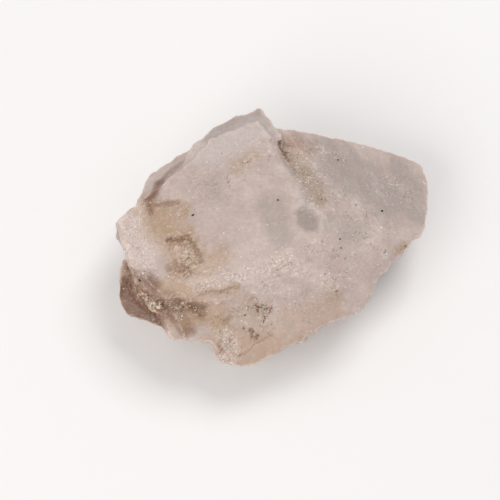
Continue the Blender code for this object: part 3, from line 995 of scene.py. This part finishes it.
def make_crumb_material(name, dark, light):
    made = bpy.data.materials.new(name)
    made.use_nodes = True
    tree = made.node_tree
    shader = tree.nodes["Principled BSDF"]
    shader.inputs["IOR"].default_value = 1.54
    shader.inputs["Subsurface Weight"].default_value = 0.5
    shader.inputs["Subsurface Radius"].default_value = (1.0, 0.8, 0.65)
    shader.inputs["Subsurface Scale"].default_value = 0.6 * MM
    cloud = use_group(tree, clouding, {"Size": 0.7 * MM, "Softness": 0.14})
    colour = mix_colour(tree, cloud["Cloud"], dark, light)
    tree.links.new(colour, shader.inputs["Base Color"])
    rough = math_node(tree, "ADD", 0.12, times(tree, cloud["Wisps"], 0.3))
    tree.links.new(rough, shader.inputs["Roughness"])
    return made


milky_look = make_crumb_material("milky_crumbs", MILKY_CRUMB_DARK, MILKY_CRUMB_LIGHT)
amber_look = make_crumb_material("amber_crumbs", AMBER_CRUMB_DARK, AMBER_CRUMB_LIGHT)
crumbs = cubes_on("salt_crumbs", strewn(CRUMB_STROKES, 20), 22)
amber_crumbs = cubes_on("amber_crumbs", strewn(AMBER_CRUMB_STROKES, 24), 25)
for piece, look in ((crumbs, milky_look), (amber_crumbs, amber_look)):
    piece.data.materials.append(look)
    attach(piece, "root")
    print(piece.name, len(piece.data.polygons) // 6, "crumbs")

# %% [markdown]
# Clay grains lie in the hollows, most of the rusty ones in two clusters on the front slope,
# and a few black specks stick to the salt. The clay and the rust are strewn along strokes
# like the crumbs, and the specks are few enough to be placed one by one.

# %% Where the dirt lies
CLAY_STROKES = (
    # how many, smallest and largest size in mm, spread in mm, then the path in the picture
    (20, 0.16, 0.42, 0.45, (279, 143), (284, 152), (288, 159)),
    (8, 0.16, 0.34, 0.4, (283, 145), (293, 146)),
    (9, 0.14, 0.30, 0.5, (252, 158), (246, 163), (240, 168)),
    (6, 0.14, 0.28, 0.5, (225, 179), (228, 182)),
    (7, 0.14, 0.28, 0.6, (206, 196), (212, 196)),
    (9, 0.14, 0.32, 0.4, (149, 205), (150, 212)),
    (14, 0.12, 0.30, 0.6, (152, 208), (164, 204), (176, 202)),
    (26, 0.12, 0.30, 0.5, (168, 239), (178, 240), (187, 237), (196, 250), (200, 260)),
    (22, 0.12, 0.30, 1.3, (176, 246), (186, 262), (188, 270)),
    (14, 0.12, 0.30, 0.5, (186, 293), (204, 293), (222, 291), (241, 288)),
    (30, 0.14, 0.36, 0.9, (136, 280), (144, 294), (156, 304), (168, 308)),
    (16, 0.14, 0.34, 0.7, (124, 246), (130, 262), (136, 278)),
    (10, 0.14, 0.34, 0.8, (178, 302), (186, 306), (192, 309)),
    (14, 0.12, 0.26, 2.2, (304, 168), (314, 184), (320, 200)),
    (8, 0.12, 0.24, 1.8, (330, 244), (338, 260), (330, 278)),
    (5, 0.16, 0.30, 0.5, (332, 286), (337, 292)),
    (5, 0.16, 0.30, 0.5, (238, 354), (245, 350)),
    (5, 0.14, 0.26, 0.4, (225, 321), (230, 318)),
    (8, 0.12, 0.24, 2.0, (260, 280), (290, 280), (312, 286)),
)
RUST_STROKES = (
    (30, 0.22, 0.75, 1.0, (252, 309), (260, 305), (269, 311)),
    (18, 0.20, 0.60, 0.7, (263, 312), (264, 320), (261, 325)),
    (8, 0.18, 0.50, 0.4, (271, 307), (272, 312)),
    (30, 0.22, 0.85, 0.7, (246, 329), (254, 333), (256, 339)),
    (8, 0.16, 0.45, 0.4, (219, 344), (221, 350)),
    (12, 0.16, 0.40, 0.9, (131, 290), (138, 304), (150, 312)),
    (8, 0.16, 0.45, 0.5, (402, 249), (405, 246)),
)
BLACK_SPECKS = (
    # column and row in the picture, size in mm
    (193, 215, 0.58),
    (278, 200, 0.49),
    (382, 211, 0.75),
    (356, 205, 0.41),
    (338, 160, 0.41),
    (340, 239, 0.41),
    (341, 248, 0.43),
    (325, 274, 0.38),
    (337, 291, 0.41),
    (245, 315, 0.41),
    (192, 308, 0.43),
    (183, 307, 0.43),
    (200, 315, 0.43),
    (140, 280, 0.64),
    (311, 149, 0.29),
    (184, 271, 0.35),
)


print("dirt grains:", sum(row[0] for row in CLAY_STROKES + RUST_STROKES) + len(BLACK_SPECKS))

# %% [markdown]
# Dirt has no flat faces, so its grains are small balls, stretched, turned and dented at
# random. Twenty faces each are enough at this size. Their colour is mottled, and they are
# dull, because clay and rust scatter light at the surface.

# %% Dirt grains
CLAY_DARK, CLAY_LIGHT = (0.10, 0.055, 0.032, 1.0), (0.27, 0.165, 0.10, 1.0)
RUST_DARK, RUST_LIGHT = (0.18, 0.082, 0.038, 1.0), (0.46, 0.27, 0.15, 1.0)
GRIT_DARK, GRIT_LIGHT = (0.012, 0.010, 0.009, 1.0), (0.04, 0.03, 0.025, 1.0)
DENT = 0.014


def lumps_on(name, grains, seed):
    """Small uneven lumps that sit on the surface."""
    chance = random.Random(seed)
    body = bmesh.new()
    for place, normal, size in grains:
        axis = Vector([chance.gauss(0.0, 1.0) for _ in range(3)]).normalized()
        turn = Matrix.Rotation(chance.uniform(0.0, math.tau), 4, axis)
        stretch = [size * chance.uniform(low, low + 0.2) for low in (0.4, 0.3, 0.22)]
        matrix = Matrix.Translation(place) @ turn @ Matrix.Diagonal((*stretch, 1.0))
        bmesh.ops.create_icosphere(body, subdivisions=1, radius=1.0, matrix=matrix)
    for vert in body.verts:
        vert.co += Vector([chance.gauss(0.0, DENT) for _ in range(3)])
    return object_of(name, body)


def speck_grains():
    grains = []
    for column, row, size in BLACK_SPECKS:
        place, normal, _, _ = surface.find_nearest(seen_at(column, row) * MM)
        grains.append((place / MM, normal, size))
    return grains


def make_dirt_material(name, dark, light):
    made = bpy.data.materials.new(name)
    made.use_nodes = True
    tree = made.node_tree
    shader = tree.nodes["Principled BSDF"]
    cloud = use_group(tree, clouding, {"Size": 0.7 * MM, "Softness": 0.14})
    colour = mix_colour(tree, cloud["Cloud"], dark, light)
    tree.links.new(colour, shader.inputs["Base Color"])
    rough = math_node(tree, "ADD", 0.6, times(tree, cloud["Wisps"], 0.25))
    tree.links.new(rough, shader.inputs["Roughness"])
    return made


brown_clay = make_dirt_material("brown_clay", CLAY_DARK, CLAY_LIGHT)
rusty_clay = make_dirt_material("rusty_clay", RUST_DARK, RUST_LIGHT)
black_grit = make_dirt_material("black_grit", GRIT_DARK, GRIT_LIGHT)
clay = lumps_on("clay_grains", strewn(CLAY_STROKES, 31), 32)
rust = lumps_on("rust_grains", strewn(RUST_STROKES, 33), 34)
specks = lumps_on("black_specks", speck_grains(), 35)
for piece, look in ((clay, brown_clay), (rust, rusty_clay), (specks, black_grit)):
    piece.data.materials.append(look)
    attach(piece, "root")
    print(piece.name, len(piece.data.polygons) // 20, "grains")
